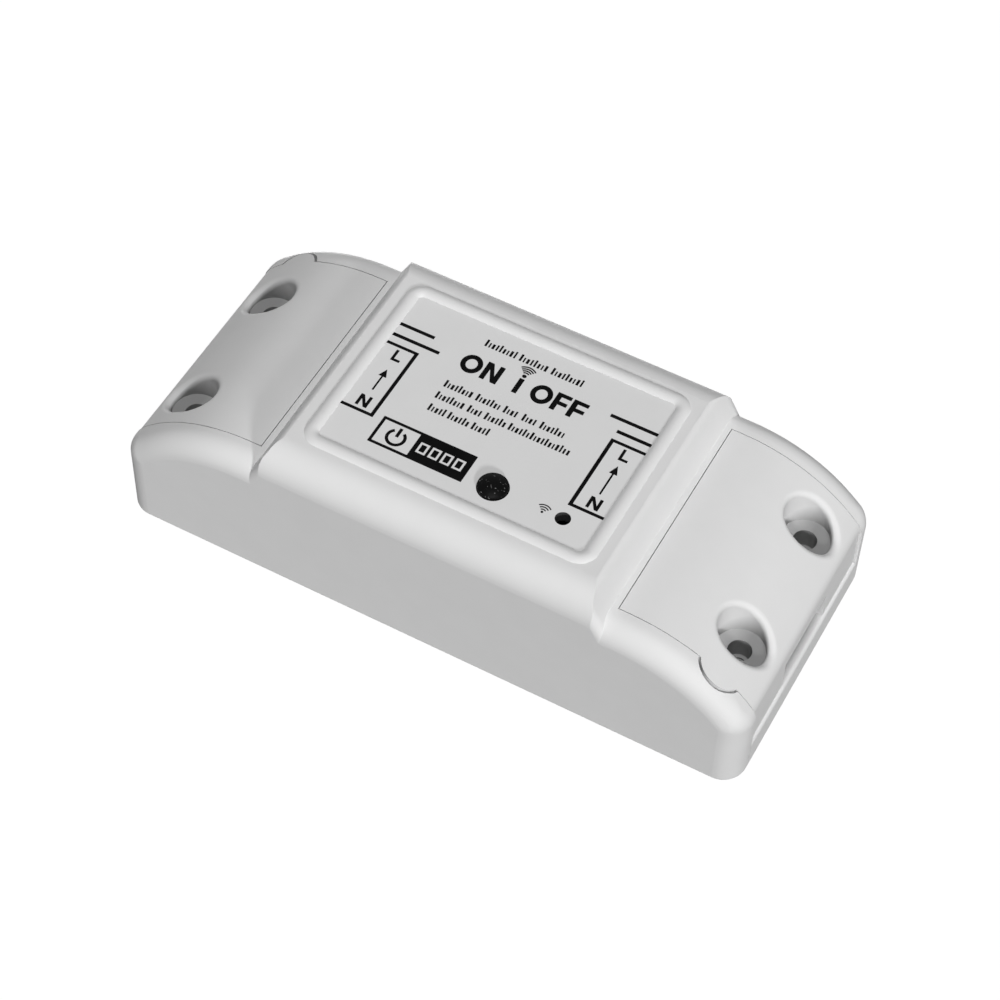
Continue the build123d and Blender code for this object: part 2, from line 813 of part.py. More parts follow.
for end_name, side in (("input", -1), ("output", 1)):
    save(terminal_block(side), f"{end_name}_terminal_block")
    save(terminal_contacts(side), f"{end_name}_terminal_contacts")
    for pole_name, pole_y in zip(("live", "neutral"), pole_places_y):
        save(clamp_screw(side, pole_y), f"{end_name}_{pole_name}_screw")
        save(clamp_cage(side, pole_y), f"{end_name}_{pole_name}_clamp")

# Tact switch under the button: moulded base, metal plate and plunger
plunger_foot = tact_height - tact_plunger_depth
with BuildPart() as tact_switch_base:
    with BuildSketch(Plane.XY):
        Rectangle(tact_size, tact_size)
    extrude(amount=tact_height)
    with Locations(Plane.XY.offset(tact_height)):
        Hole(tact_plunger_radius + tact_play, depth=tact_well_depth)
save_on_board(tact_switch_base, "tact_switch_base", (button_x, button_y))

with BuildPart() as tact_switch_plate:
    with BuildSketch(Plane.XY.offset(tact_height)):
        Rectangle(tact_size, tact_size)
        Circle(tact_plunger_radius + tact_play, mode=Mode.SUBTRACT)
    extrude(amount=tact_plate)
save_on_board(tact_switch_plate, "tact_switch_plate", (button_x, button_y))

with BuildPart() as tact_switch_plunger:
    with BuildSketch(Plane.XY.offset(plunger_foot)):
        Circle(tact_plunger_radius)
    extrude(amount=tact_plunger_length)
save_on_board(tact_switch_plunger, "tact_switch_plunger", (button_x, button_y))

# Domed push button, turned: stem, collar under the roof and cap through the roof
plunger_top = board_top + part_scale * (plunger_foot + tact_plunger_length)
collar_top = crown_height - roof - seat_gap
collar_bottom = collar_top - button_collar_height
with BuildPart() as button_cap:
    with BuildSketch(Plane((button_x, button_y, 0), x_dir=(1, 0, 0), z_dir=(0, -1, 0))):
        with BuildLine():
            Polyline(
                (0, crown_height + button_rise + button_dome),
                (0, plunger_top),
                (button_stem_radius, plunger_top),
                (button_stem_radius, collar_bottom),
                (button_collar_radius, collar_bottom),
                (button_collar_radius, collar_top),
                (button_radius, collar_top),
                (button_radius, crown_height + button_rise),
            )
            TangentArc(
                (0, crown_height + button_rise + button_dome),
                (button_radius, crown_height + button_rise),
                tangent=(1, 0),
            )
        make_face()
    revolve(axis=Axis((button_x, button_y, 0), (0, 0, 1)))
save(button_cap, "button_cap")

# Status light, a round-nosed lamp on two leads
with BuildPart() as status_led:
    with BuildSketch(Plane.XZ):
        with BuildLine():
            Polyline(
                (0, led_height),
                (0, 0),
                (led_flange_radius, 0),
                (led_flange_radius, led_flange_height),
                (led_radius, led_flange_height),
                (led_radius, led_height - led_radius),
            )
            TangentArc((led_radius, led_height - led_radius), (0, led_height), tangent=(0, 1))
        make_face()
    revolve(axis=Axis.Z)
save_on_board(status_led, "status_led", led_place)

# Round pins that hang from the parts' feet through the board
for pins_name, pin_places, radius in (
    ("status_led_leads", around(led_leads, led_place), lead_radius),
    ("transformer_pins", around(transformer_pins, transformer_place), transformer_pin_radius),
    ("relay_coil_pins", around(coil_pins, relay_place), relay_pin_radius),
):
    with BuildPart() as pins:
        with BuildSketch(Plane.XY.offset(pin_end)):
            with Locations(*pin_places):
                Circle(radius)
        extrude(amount=board_top - pin_end)
    save(pins, pins_name)

# Relay, drawn about its own centre from its base upwards
relay_inner_length = relay_length - 2 * relay_case_wall
relay_inner_width = relay_width - 2 * relay_case_wall
core_radius = relay_length * core_radius_share
pole_radius = relay_length * pole_radius_share
contact_radius = relay_length * contact_radius_share
contact_x = relay_length * contact_offset_share
yoke_inner_x = yoke_x + yoke_thickness / 2
bobbin_flange_size = 2 * (coil_radius + bobbin_overhang)
bobbin_foot = relay_base_height + yoke_thickness
winding_foot = bobbin_foot + bobbin_flange
contact_stack = leaf_thickness + contact_lift + contact_touch_gap + fixed_contact_height + blade_thickness
armature_z = relay_height - relay_case_wall - contact_headroom - contact_stack - armature_thickness
pole_foot = armature_z - armature_gap - pole_thickness
winding_top = pole_foot - bobbin_flange
leaf_z = armature_z + armature_thickness
contact_foot = leaf_z - contact_lift
contact_top = leaf_z + leaf_thickness + contact_lift

with BuildPart() as relay_base:
    with BuildSketch(Plane.XY):
        Rectangle(relay_inner_length - 2 * relay_fit, relay_inner_width - 2 * relay_fit)
        with Locations((blade_x, blade_y), (blade_x, -blade_y)):
            Rectangle(blade_thickness + 2 * pin_play, blade_width + 2 * pin_play, mode=Mode.SUBTRACT)
        with Locations((yoke_x, 0)):
            Circle(relay_pin_radius + pin_play, mode=Mode.SUBTRACT)
    extrude(amount=relay_base_height)
save_on_board(relay_base, "relay_base", relay_place)

with BuildPart() as relay_case:
    with BuildSketch(Plane.XY):
        Rectangle(relay_length, relay_width)
    extrude(amount=relay_height)
    fillet(relay_case.edges().filter_by(Axis.Z), radius=relay_case_radius)
    fillet(relay_case.faces().sort_by(Axis.Z)[-1].edges(), radius=relay_case_radius / 2)
    with BuildSketch(Plane.XY):
        Rectangle(relay_inner_length, relay_inner_width)
    extrude(amount=relay_height - relay_case_wall, mode=Mode.SUBTRACT)
save_on_board(relay_case, "relay_case", relay_place)

# Yoke: an L of iron, from under the core to the hinge edge, with a pin through the board
with BuildPart() as relay_yoke:
    with BuildSketch(Plane.XY.offset(relay_base_height)):
        with Locations((yoke_x - yoke_thickness / 2, 0)):
            Rectangle(coil_x + core_radius - yoke_x, yoke_width, align=(Align.MIN, Align.CENTER))
    extrude(amount=yoke_thickness)
    with BuildSketch(Plane.XY.offset(relay_base_height)):
        with Locations((yoke_x, 0)):
            Rectangle(yoke_thickness, yoke_width)
    extrude(amount=armature_z - seat_gap - relay_base_height)
    with BuildSketch(Plane.XY.offset(relay_base_height)):
        with Locations((yoke_x, 0)):
            Circle(relay_pin_radius)
    extrude(amount=pin_end - board_top - relay_base_height)
save_on_board(relay_yoke, "relay_yoke", relay_place)

with BuildPart() as relay_core:
    with BuildSketch(Plane.XY.offset(bobbin_foot)):
        with Locations((coil_x, 0)):
            Circle(core_radius)
    extrude(amount=pole_foot - bobbin_foot)
    with BuildSketch(Plane.XY.offset(pole_foot)):
        with Locations((coil_x, 0)):
            Circle(pole_radius)
    extrude(amount=pole_thickness)
save_on_board(relay_core, "relay_core", relay_place)

with BuildPart() as relay_bobbin:
    with BuildSketch(Plane.XY.offset(bobbin_foot), Plane.XY.offset(winding_top)):
        with Locations((coil_x, 0)):
            Rectangle(bobbin_flange_size, bobbin_flange_size)
    extrude(amount=bobbin_flange)
    with BuildSketch(Plane.XY.offset(winding_foot)):
        with Locations((coil_x, 0)):
            Circle(core_radius + bobbin_wall)
    extrude(amount=winding_top - winding_foot)
    with BuildSketch(Plane.XY.offset(bobbin_foot)):
        with Locations((coil_x, 0)):
            Circle(core_radius)
    extrude(amount=pole_foot - bobbin_foot, mode=Mode.SUBTRACT)
save_on_board(relay_bobbin, "relay_bobbin", relay_place)

with BuildPart() as relay_winding:
    with BuildSketch(Plane.XY.offset(winding_foot)):
        with Locations((coil_x, 0)):
            Circle(coil_radius)
            Circle(core_radius + bobbin_wall, mode=Mode.SUBTRACT)
    extrude(amount=winding_top - winding_foot)
save_on_board(relay_winding, "relay_winding", relay_place)

with BuildPart() as relay_armature:
    with BuildSketch(Plane.XY.offset(armature_z)):
        with Locations((yoke_inner_x - yoke_thickness, 0)):
            Rectangle(
                coil_x + pole_radius + armature_reach - yoke_inner_x + yoke_thickness,
                armature_width,
                align=(Align.MIN, Align.CENTER),
            )
    extrude(amount=armature_thickness)
save_on_board(relay_armature, "relay_armature", relay_place)

with BuildPart() as relay_contact_spring:
    with BuildSketch(Plane.XY.offset(leaf_z)):
        with Locations((yoke_inner_x, 0)):
            Rectangle(
                contact_x + contact_radius + leaf_margin - yoke_inner_x,
                leaf_width,
                align=(Align.MIN, Align.CENTER),
            )
        with Locations((contact_x, 0)):
            Circle(contact_radius / 2, mode=Mode.SUBTRACT)
    extrude(amount=leaf_thickness)
save_on_board(relay_contact_spring, "relay_contact_spring", relay_place)

with BuildPart() as relay_moving_contact:
    with BuildSketch(Plane.XY.offset(contact_foot), Plane.XY.offset(leaf_z + leaf_thickness)):
        with Locations((contact_x, 0)):
            Circle(contact_radius)
    extrude(amount=contact_lift)
    with BuildSketch(Plane.XY.offset(leaf_z)):
        with Locations((contact_x, 0)):
            Circle(contact_radius / 2)
    extrude(amount=leaf_thickness)
save_on_board(relay_moving_contact, "relay_moving_contact", relay_place)

# Fixed contacts: each a blade through the base, a shelf and a round contact on the shelf
closed_face_z = contact_foot - contact_travel - fixed_contact_height
open_face_z = contact_top + contact_touch_gap
shelf_inner_x = contact_x - contact_radius
shelf_outer_x = blade_x + blade_thickness / 2
with BuildPart() as relay_fixed_contacts:
    for side, shelf_z, face_z in (
        (-1, closed_face_z - blade_thickness, closed_face_z),
        (1, open_face_z + fixed_contact_height, open_face_z),
    ):
        with BuildSketch(Plane.XY):
            with Locations((blade_x, side * blade_y)):
                Rectangle(blade_thickness, blade_width)
        extrude(amount=shelf_z + blade_thickness)
        with BuildSketch(Plane.XY):
            with Locations((blade_x, side * blade_y)):
                Circle(relay_pin_radius)
                Rectangle(blade_thickness, blade_width, mode=Mode.INTERSECT)
        extrude(amount=pin_end - board_top)
        with BuildSketch(Plane.XY.offset(shelf_z)):
            with Locations(((shelf_inner_x + shelf_outer_x) / 2, side * blade_y / 2)):
                Rectangle(shelf_outer_x - shelf_inner_x, blade_y + blade_width)
        extrude(amount=blade_thickness)
        with BuildSketch(Plane.XY.offset(face_z)):
            with Locations((contact_x, 0)):
                Circle(contact_radius)
        extrude(amount=fixed_contact_height)
save_on_board(relay_fixed_contacts, "relay_fixed_contacts", relay_place)

# Transformer: two E cores closed round a bobbin that stands on the board
core_leg = transformer_length * core_leg_share
core_centre_leg = transformer_length * core_centre_leg_share
core_split_z = transformer_foot + core_half_height
tube_size_x = core_centre_leg + 2 * transformer_tube_wall
tube_size_y = core_depth + 2 * transformer_tube_wall
window_foot = transformer_foot + core_back
window_height = 2 * (core_half_height - core_back)
window_half = transformer_length / 2 - core_leg
window_x = (window_half + core_centre_leg / 2) / 2
with BuildPart() as transformer_cores:
    with BuildSketch(Plane.XZ):
        with Locations((0, core_split_z)):
            Rectangle(transformer_length, 2 * core_half_height)
            with Locations((-window_x, 0), (window_x, 0)):
                Rectangle(window_half - core_centre_leg / 2, window_height, mode=Mode.SUBTRACT)
    extrude(amount=core_depth / 2, both=True)
    split(bisect_by=Plane.XY.offset(core_split_z), keep=Keep.BOTH)
save_on_board(transformer_cores, "transformer_cores", transformer_place)

foot_y = (transformer_width + core_depth) / 4
with BuildPart() as transformer_bobbin:
    flange_levels = (window_foot, window_foot + window_height - transformer_flange)
    with BuildSketch(*[Plane.XY.offset(level) for level in flange_levels]):
        Rectangle(2 * (window_half - seat_gap), transformer_width)
    extrude(amount=transformer_flange)
    with BuildSketch(Plane.XY.offset(window_foot)):
        Rectangle(tube_size_x, tube_size_y)
    extrude(amount=window_height)
    with BuildSketch(Plane.XY):
        with Locations((0, foot_y), (0, -foot_y)):
            Rectangle(2 * (window_half - seat_gap), (transformer_width - core_depth) / 2 - 2 * seat_gap)
    extrude(amount=window_foot)
    with BuildSketch(Plane.XY.offset(window_foot)):
        Rectangle(core_centre_leg, core_depth)
    extrude(amount=window_height, mode=Mode.SUBTRACT)
save_on_board(transformer_bobbin, "transformer_bobbin", transformer_place)

with BuildPart() as transformer_winding:
    with BuildSketch(Plane.XY.offset(window_foot + transformer_flange)):
        Rectangle(2 * (window_half - 2 * seat_gap), transformer_width - 2 * transformer_flange)
        Rectangle(tube_size_x, tube_size_y, mode=Mode.SUBTRACT)
    extrude(amount=window_height - 2 * transformer_flange)
save_on_board(transformer_winding, "transformer_winding", transformer_place)


def capacitors(can_places, radius, height):
    """Round cans with a crimp groove near the foot and a softened top edge."""
    with BuildPart() as cans:
        for x, y in can_places:
            with BuildSketch(Plane((x, y, 0), x_dir=(1, 0, 0), z_dir=(0, -1, 0))):
                with BuildLine():
                    Polyline(
                        (0, 0),
                        (radius, 0),
                        (radius, can_groove_level),
                        (radius - can_groove, can_groove_level + can_groove),
                        (radius, can_groove_level + 2 * can_groove),
                        (radius, height - can_edge),
                        (radius - can_edge, height),
                        (0, height),
                        close=True,
                    )
                make_face()
            revolve(axis=Axis((x, y, 0), (0, 0, 1)))
    return cans


def from_centre(place_shares):
    """Places on the board, before the parts' scale is put on the whole group."""
    return [(x / part_scale, y / part_scale) for x, y in map(on_board, place_shares)]


bulk_step = 2 * bulk_radius + component_gap
bulk_cans = capacitors([(0, 0), (0, -bulk_step)], bulk_radius, bulk_height)
save_on_board(bulk_cans, "bulk_capacitors", (bulk_x, bulk_y))

# Filter choke beside the second large can: a drum core and its winding
choke_reach = bulk_radius + choke_gap + choke_radius
choke_offset = (choke_reach * choke_lean_shares[0], choke_reach * choke_lean_shares[1] - bulk_step)
choke_place = around([choke_offset], (bulk_x, bulk_y))[0]
with BuildPart() as filter_choke_core:
    with BuildSketch(Plane.XY, Plane.XY.offset(choke_height - choke_flange)):
        Circle(choke_radius)
    extrude(amount=choke_flange)
    with BuildSketch(Plane.XY.offset(choke_flange)):
        Circle(choke_waist_radius)
    extrude(amount=choke_height - 2 * choke_flange)
save_on_board(filter_choke_core, "filter_choke_core", choke_place)

with BuildPart() as filter_choke_winding:
    with BuildSketch(Plane.XY.offset(choke_flange)):
        Circle(choke_radius - can_groove)
        Circle(choke_waist_radius, mode=Mode.SUBTRACT)
    extrude(amount=choke_height - 2 * choke_flange)
save_on_board(filter_choke_winding, "filter_choke_winding", choke_place)

# Output capacitors on either side of the choke's line across the board
output_places = [
    (crown_cavity_x * share / part_scale, choke_place[1] / part_scale + step)
    for share, step in zip(output_capacitor_place_shares, [-output_step_near, output_step_far])
]
output_cans = capacitors(output_places, output_radius, output_height)
save_on_board(output_cans, "output_capacitors")

# Varistor: a coated disc that stands on edge
with BuildPart() as varistor:
    with BuildSketch(Plane.YZ):
        with Locations((0, varistor_radius)):
            Circle(varistor_radius)
    extrude(amount=varistor_thickness / 2, both=True)
    fillet(varistor.edges().filter_by(GeomType.CIRCLE), radius=varistor_thickness / 3)
varistor_x = crown_cavity_x * varistor_place_share
save_on_board(varistor, "varistor", (varistor_x, bulk_y - part_scale * bulk_radius))

# Fuse resistor: a dumbbell body that lies along the board's end
with BuildPart() as fuse_resistor:
    with BuildSketch(Plane((0, 0, fuse_radius), x_dir=(0, 1, 0), z_dir=(1, 0, 0))):
        with BuildLine():
            Polyline(
                (-fuse_length / 2, 0),
                (-fuse_length / 2, fuse_radius),
                (fuse_cap_length - fuse_length / 2, fuse_radius),
                (fuse_cap_length + can_edge - fuse_length / 2, fuse_waist_radius),
                (fuse_length / 2 - fuse_cap_length - can_edge, fuse_waist_radius),
                (fuse_length / 2 - fuse_cap_length, fuse_radius),
                (fuse_length / 2, fuse_radius),
                (fuse_length / 2, 0),
                close=True,
            )
        make_face()
    revolve(axis=Axis((0, 0, fuse_radius), (0, 1, 0)))
save_on_board(fuse_resistor, "fuse_resistor", on_board(fuse_place_shares))


def package(length, width, height):
    """Moulded package that stands on the board, with draft on its sides."""
    with BuildPart() as body:
        with BuildSketch(Plane.XY):
            Rectangle(length, width)
        extrude(amount=height, taper=package_draft)
    return body


transistor_sizes = (transistor_length, transistor_width, transistor_height)
for package_name, place_shares, sizes in (
    ("bridge_rectifier", bridge_place_shares, (bridge_length, bridge_width, bridge_height)),
    ("converter_chip", converter_place_shares, (soic_length, soic_width, soic_height)),
    ("output_diode", diode_place_shares, (diode_length, diode_width, diode_height)),
    ("voltage_regulator", regulator_place_shares, (regulator_length, regulator_width, regulator_height)),
    ("wifi_chip", wifi_place_shares, (wifi_chip_size, wifi_chip_size, wifi_chip_height)),
    ("flash_chip", flash_place_shares, (soic_length, soic_width, soic_height)),
    ("crystal", crystal_place_shares, (crystal_length, crystal_width, crystal_height)),
    ("driver_transistor", transistor_place_shares, transistor_sizes),
):
    save_on_board(package(*sizes), package_name, on_board(place_shares))

# Gull-wing leads of the two eight-lead chips
leg_waist = soic_height / 2
with BuildPart() as chip_leads:
    for chip_x, chip_y in from_centre([converter_place_shares, flash_place_shares]):
        for step in range(4):
            leg_x = chip_x + (step - 3 / 2) * soic_pitch
            with BuildSketch(Plane((leg_x, chip_y, 0), x_dir=(0, 1, 0), z_dir=(1, 0, 0))):
                with BuildLine():
                    Polyline(
                        (soic_width / 2, leg_waist),
                        (soic_width / 2 + leg_run - leg_foot, leg_waist),
                        (soic_width / 2 + leg_run - leg_foot, leg_thickness),
                        (soic_width / 2 + leg_run, leg_thickness),
                        (soic_width / 2 + leg_run, 0),
                        (soic_width / 2 + leg_run - leg_foot - leg_thickness, 0),
                        (soic_width / 2 + leg_run - leg_foot - leg_thickness, leg_waist - leg_thickness),
                        (soic_width / 2, leg_waist - leg_thickness),
                        close=True,
                    )
                make_face()
                mirror(about=Plane.YZ)
            extrude(amount=leg_width / 2, both=True)
save_on_board(chip_leads, "chip_leads")


def chips(place_shares):
    """Small chip parts, all alike, at their places on the board."""
    with BuildPart() as group:
        with BuildSketch(Plane.XY.offset(board_top)):
            with Locations(*map(on_board, place_shares)):
                Rectangle(chip_length, chip_width)
        extrude(amount=chip_height)
    return group


save(chips(resistor_place_shares), "chip_resistors")
save(chips(capacitor_place_shares), "chip_capacitors")

# Antenna: a folded copper trace near the board's edge
with BuildPart() as wifi_antenna:
    with BuildSketch(Plane.XY):
        for turn in range(antenna_turns):
            turn_x = (turn - antenna_turns / 2) * antenna_step
            with Locations((turn_x, 0)):
                Rectangle(antenna_trace, antenna_reach)
            if turn:
                bridge_y = (-1) ** turn * (antenna_reach - antenna_trace) / 2
                with Locations((turn_x - antenna_step / 2, bridge_y)):
                    Rectangle(antenna_step, antenna_trace)
    extrude(amount=antenna_thickness)
save_on_board(wifi_antenna, "wifi_antenna", on_board(antenna_place_shares))
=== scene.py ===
import json
import math

import bpy
from mathutils import Matrix, Vector


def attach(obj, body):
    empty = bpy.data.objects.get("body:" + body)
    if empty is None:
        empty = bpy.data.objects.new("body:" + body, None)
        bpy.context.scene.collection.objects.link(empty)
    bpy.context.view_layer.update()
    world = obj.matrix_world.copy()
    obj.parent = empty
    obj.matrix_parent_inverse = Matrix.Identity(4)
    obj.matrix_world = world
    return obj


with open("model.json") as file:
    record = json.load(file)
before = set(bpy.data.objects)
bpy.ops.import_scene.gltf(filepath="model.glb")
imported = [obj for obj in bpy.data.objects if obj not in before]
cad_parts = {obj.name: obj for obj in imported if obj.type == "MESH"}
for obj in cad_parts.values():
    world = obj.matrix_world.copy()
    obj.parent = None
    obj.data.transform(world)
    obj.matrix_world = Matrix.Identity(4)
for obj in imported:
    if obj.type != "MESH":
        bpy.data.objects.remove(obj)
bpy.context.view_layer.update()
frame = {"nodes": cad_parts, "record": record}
nodes = frame["nodes"]
collection = bpy.context.scene.collection
MM = 0.001


# Materials

def emptied(tree):
    tree.nodes.clear()
    return tree


def new_material(name):
    """A material with an emptied tree, and its shader."""
    material = bpy.data.materials.new(name)
    material.use_nodes = True
    tree = emptied(material.node_tree)
    output = tree.nodes.new("ShaderNodeOutputMaterial")
    shader = tree.nodes.new("ShaderNodeBsdfPrincipled")
    tree.links.new(shader.outputs[0], output.inputs[0])
    return material, tree, shader


def noise(tree, scale, detail, stretch=None):
    """A noise texture in object space, in features per metre."""
    coordinates = tree.nodes.new("ShaderNodeTexCoord")
    texture = tree.nodes.new("ShaderNodeTexNoise")
    texture.inputs["Scale"].default_value = scale
    texture.inputs["Detail"].default_value = detail
    source = coordinates.outputs["Object"]
    if stretch:
        mapping = tree.nodes.new("ShaderNodeMapping")
        mapping.inputs["Scale"].default_value = stretch
        tree.links.new(source, mapping.inputs[0])
        source = mapping.outputs[0]
    tree.links.new(source, texture.inputs["Vector"])
    return texture.outputs["Fac"]


def ramp(tree, value, stops):
    """Turns a value into a colour through (place, colour) stops."""
    node = tree.nodes.new("ShaderNodeValToRGB")
    for element, (place, colour) in zip(node.color_ramp.elements, stops):
        element.position = place
        element.color = (*colour, 1)
    tree.links.new(value, node.inputs[0])
    return node.outputs[0]


def map_range(tree, value, before, after):
    """Maps one range of a value to another, in a straight line between their ends."""
    node = tree.nodes.new("ShaderNodeMapRange")
    for socket, end in zip(("From Min", "From Max", "To Min", "To Max"), (*before, *after)):
        node.inputs[socket].default_value = end
    tree.links.new(value, node.inputs[0])
    return node.outputs[0]


def reckon(tree, operation, *values):
    """A Math node; each value is a number or another node's output."""
    node = tree.nodes.new("ShaderNodeMath")
    node.operation = operation
    for place, value in enumerate(values):
        if isinstance(value, (int, float)):
            node.inputs[place].default_value = value
        else:
            tree.links.new(value, node.inputs[place])
    return node.outputs[0]


# Where most of a noise's values lie, its values at two tones, its features per metre, the height of
# its relief in metres, and how far the gloss strays either way
noise_middle = (0.3, 0.7)
tone_stops = (0.35, 0.65)
# The button's pale specks are painted glints: their two tones, their features per metre and their gloss spread.
glint_stops = (0.66, 0.72)
glint_scale = 3600
cloud_share = 1 / 12
relief_height = 0.000004
grain_gloss = 0.04
glint_gloss = 0.05


def grain(tree, shader, heights, roughness, gloss_spread, relief):
    """Lets a noise set the gloss and the relief of a shader."""
    gloss = (roughness - gloss_spread, roughness + gloss_spread)
    tree.links.new(map_range(tree, heights, noise_middle, gloss), shader.inputs["Roughness"])
    node = tree.nodes.new("ShaderNodeBump")
    node.inputs["Strength"].default_value = 1
    node.inputs["Distance"].default_value = relief
    tree.links.new(heights, node.inputs["Height"])
    tree.links.new(node.outputs[0], shader.inputs["Normal"])


def surface(
    name, dark, light, roughness, scale=900, relief=relief_height, metallic=0.0, specular=0.5, stretch=None, tone=None
):
    """Two-tone material with a fine grain: its tone, gloss and relief all follow the grain."""
    material, tree, shader = new_material(name)
    cloud = noise(tree, scale * cloud_share, detail=4, stretch=stretch)
    fine = noise(tree, scale, detail=2, stretch=stretch)
    colour = ramp(tree, cloud, list(zip(tone_stops, (dark, light))))
    # A given tone multiplies the colour; the casing gets its painted shade this way.
    if tone:
        product = tree.nodes.new("ShaderNodeVectorMath")
        product.operation = "MULTIPLY"
        tree.links.new(colour, product.inputs[0])
        tree.links.new(tone(tree), product.inputs[1])
        colour = product.outputs[0]
    tree.links.new(colour, shader.inputs["Base Color"])
    grain(tree, shader, fine, roughness, grain_gloss, relief)
    shader.inputs["Metallic"].default_value = metallic
    shader.inputs["Specular IOR Level"].default_value = specular
    return material


def glint_speckled(name, dark, glint, roughness, specular):
    """Plastic with sparse pale specks, painted in as glints."""
    material, tree, shader = new_material(name)
    dots = noise(tree, glint_scale, detail=2)
    tree.links.new(ramp(tree, dots, list(zip(glint_stops, (dark, glint)))), shader.inputs["Base Color"])
    grain(tree, shader, dots, roughness, glint_gloss, relief_height)
    shader.inputs["Specular IOR Level"].default_value = specular
    return material


# Recesses in which shade is painted into the casing's colour, in millimetres from the axis or up from the wall. Of
# each pair, the painted shade starts at the first value and is whole at the second.
post_x = 38.4
post_places_y = (10.1, -8.9)
rim_slope = 0.4
pocket_reach = (3.55, 3.2)
pocket_depth = (15.8, 12.4)
above_pocket_floor = (12.50, 12.56)
hole_reach = (1.7, 1.6)
below_pocket_floor = (12.56, 12.50)
above_post_sides = (9.2, 9.3)
lamp_place = (13.9, -9.35)
lamp_reach = (1.2, 1.1)
below_top = (23.98, 23.90)
pocket_painted_shade = 0.64
hole_painted_shade = 0.66
lamp_hole_painted_shade = 0.93


def rise(tree, value, levels):
    """0 up to the first level, 1 from the second on, and a straight line in between."""
    return map_range(tree, value, [level * MM for level in levels], (0, 1))


def square(tree, value):
    return reckon(tree, "MULTIPLY", value, value)


def painted_recess_shade(tree):
    """Share of the plastic's colour left under the shade painted into the screw pockets, their holes and the light
    hole.
    """
    place = tree.nodes.new("ShaderNodeSeparateXYZ")
    tree.links.new(tree.nodes.new("ShaderNodeTexCoord").outputs["Object"], place.inputs[0])
    x, y, z = place.outputs

    # The posts of one end stand as those of the other, turned half a turn
    along = reckon(tree, "SUBTRACT", reckon(tree, "ABSOLUTE", x), post_x * MM)
    across = reckon(tree, "MULTIPLY", y, reckon(tree, "SIGN", x))
    squares = [square(tree, reckon(tree, "SUBTRACT", across, post_y * MM)) for post_y in post_places_y]
    nearest = reckon(tree, "MINIMUM", *squares)
    reach = reckon(tree, "SQRT", reckon(tree, "ADD", square(tree, along), nearest))
    depth = reckon(tree, "SUBTRACT", z, reckon(tree, "MULTIPLY", along, rim_slope))
    pocket = reckon(tree, "MULTIPLY", rise(tree, reach, pocket_reach), rise(tree, depth, pocket_depth))
    pocket = reckon(tree, "MULTIPLY", pocket, rise(tree, z, above_pocket_floor))
    hole = reckon(tree, "MULTIPLY", rise(tree, reach, hole_reach), rise(tree, z, below_pocket_floor))

    lamp_squares = [
        square(tree, reckon(tree, "SUBTRACT", value, centre * MM)) for value, centre in zip((x, y), lamp_place)
    ]
    from_lamp = reckon(tree, "SQRT", reckon(tree, "ADD", *lamp_squares))
    lamp = reckon(tree, "MULTIPLY", rise(tree, from_lamp, lamp_reach), rise(tree, z, below_top))

    # Painted shade: how much darker the pockets, the screw holes and the light hole are painted.
    pocket = reckon(tree, "MULTIPLY", pocket, pocket_painted_shade)
    hole = reckon(tree, "MULTIPLY", hole, hole_painted_shade)
    cover = reckon(tree, "MULTIPLY", reckon(tree, "ADD", pocket, hole), rise(tree, z, above_post_sides))
    dark = reckon(tree, "ADD", cover, reckon(tree, "MULTIPLY", lamp, lamp_hole_painted_shade))
    return reckon(tree, "SUBTRACT", 1.0, dark)


ink = surface("label_ink", (0.0015, 0.0015, 0.0016), (0.0045, 0.0045, 0.0046), 0.6, scale=4000, specular=0.03)
black_plastic = surface("black_plastic", (0.012, 0.012, 0.012), (0.022, 0.022, 0.022), 0.45)
steel = surface("plated_steel", (0.46, 0.47, 0.48), (0.58, 0.59, 0.60), 0.32, metallic=1.0, stretch=(1, 1, 0.2))
tin = surface("tinned_metal", (0.55, 0.55, 0.52), (0.66, 0.66, 0.63), 0.35, metallic=1.0)

